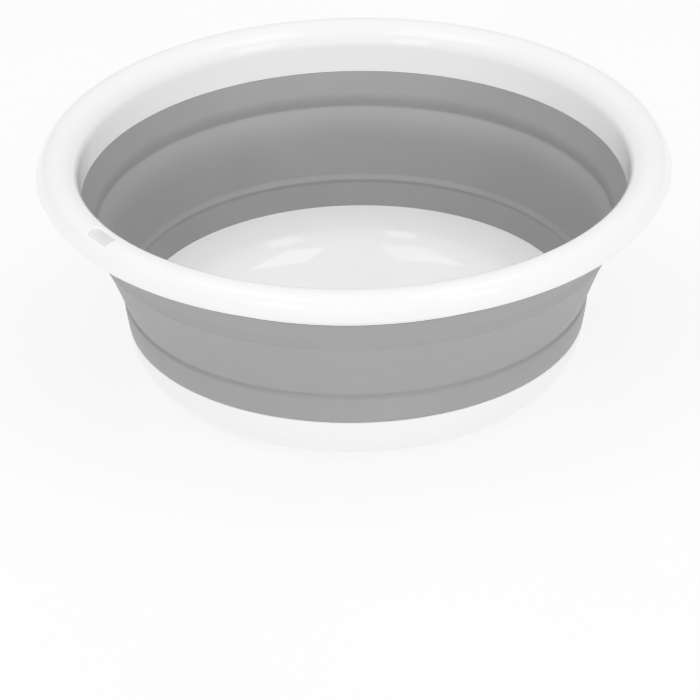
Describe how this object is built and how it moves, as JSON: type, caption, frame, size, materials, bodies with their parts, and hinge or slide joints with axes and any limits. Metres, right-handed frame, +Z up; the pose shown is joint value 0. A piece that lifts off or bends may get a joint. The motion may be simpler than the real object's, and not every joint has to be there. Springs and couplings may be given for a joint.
{
  "type": "collapsible foot basin",
  "caption": "Round collapsible foot basin: rolled white rim with a hang slot, grey folding elastomer wall and a white dished base.",
  "frame": {"origin": "middle of the base's underside, on the surface the basin stands on, with the wall standing open", "axes": "+Z up along the basin's turning axis; +X towards the right grip lip, so the hang slot is at 215 degrees from +X, on the left towards -Y"},
  "size_m": [0.3722, 0.37, 0.1413],
  "materials": {
    "rim_plastic": "gloss white polypropylene",
    "wall_elastomer": "satin mid-grey thermoplastic elastomer",
    "base_plastic": "gloss white polypropylene"
  },
  "bodies": {
    "base": {"base_pan": "base_plastic", "lower_wall_band": "wall_elastomer", "lower_fold_hinge": "wall_elastomer", "middle_wall_band": "wall_elastomer"},
    "rim": {"rim": "rim_plastic", "upper_wall_band": "wall_elastomer", "upper_fold_hinge": "wall_elastomer"}
  },
  "joints": [
    {"name": "collapse", "type": "slide", "parent": "base", "child": "rim", "axis": [0, 0, -1], "range_m": [0, 0.092], "deforming": ["middle_wall_band", "upper_fold_hinge"]}
  ]
}
